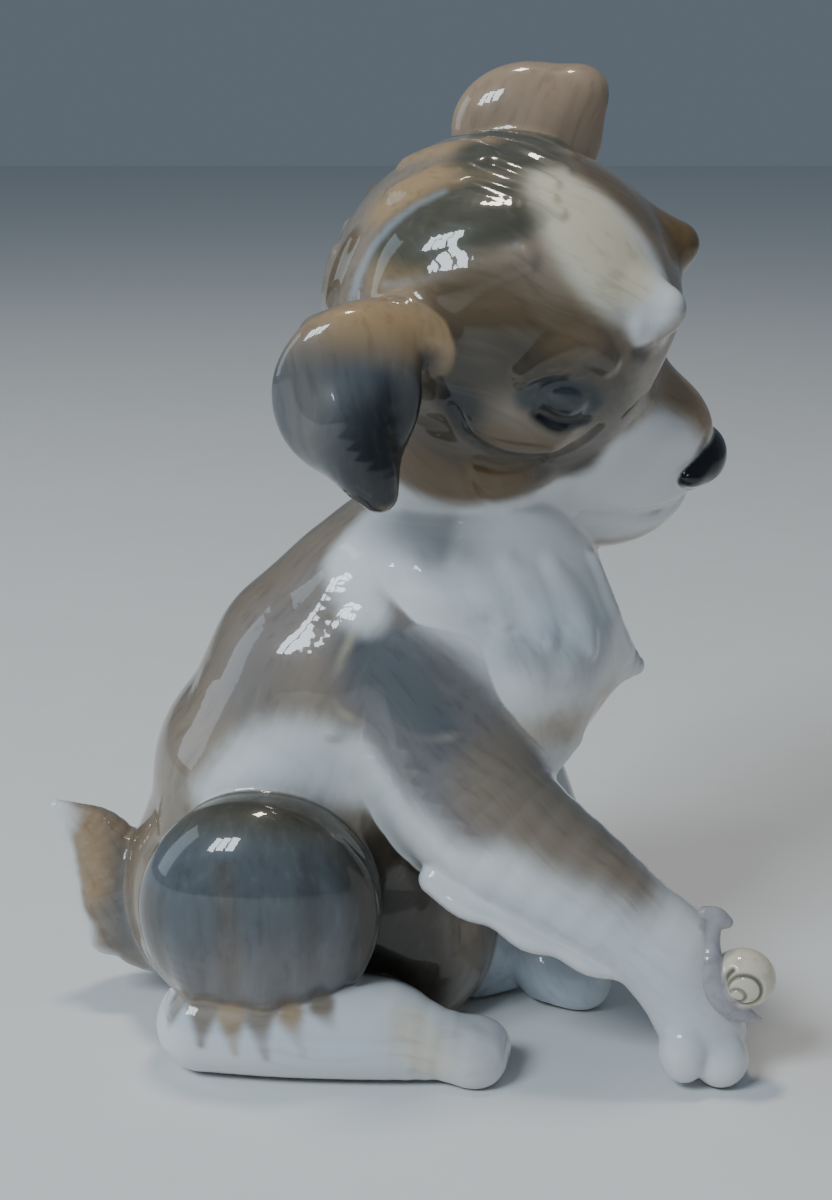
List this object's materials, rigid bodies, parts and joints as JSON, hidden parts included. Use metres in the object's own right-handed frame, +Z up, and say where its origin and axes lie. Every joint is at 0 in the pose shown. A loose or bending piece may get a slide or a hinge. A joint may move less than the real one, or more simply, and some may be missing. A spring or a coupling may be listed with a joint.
{
  "type": "dog figurine",
  "caption": "Seated puppy figurine in glazed porcelain, head tilted and one ear cocked, looking down at a small snail that climbs its outstretched forepaw.",
  "frame": {"origin": "on the table under the seat, on the flat unglazed underside of the body casting, in the figure's middle plane", "axes": "+X the way the puppy's chest faces, +Y its left side, +Z up"},
  "size_m": [0.1207, 0.0724, 0.1594],
  "materials": {
    "taupe_glaze": "glossy glaze over soft airbrushed taupe, grey and white underglaze colour",
    "head_glaze": "glossy glaze over olive-grey, tan and white underglaze colour with brush strokes",
    "slate_glaze": "glossy glaze over dark slate and olive-grey underglaze colour",
    "white_glaze": "glossy glaze over white with a cool blue-grey shade",
    "black_glaze": "glossy glaze over near-black underglaze colour",
    "snail_glaze": "glossy glaze over lilac-grey underglaze colour",
    "shell_glaze": "glossy glaze over cream with grey-green spiral lines"
  },
  "bodies": {
    "root": {"body_casting": "taupe_glaze", "head_casting": "head_glaze", "right_ear": "slate_glaze", "left_ear": "taupe_glaze", "nose_pad": "black_glaze", "right_brow_tuft": "white_glaze", "left_brow_tuft": "head_glaze", "chest_ruff": "white_glaze", "right_foreleg": "taupe_glaze", "foreleg_fringe": "white_glaze", "left_foreleg": "white_glaze", "right_haunch": "slate_glaze", "right_hind_foot": "white_glaze", "left_haunch": "slate_glaze", "left_hind_foot": "white_glaze", "tail": "taupe_glaze", "snail_body": "snail_glaze", "snail_shell": "shell_glaze"}
  },
  "joints": []
}
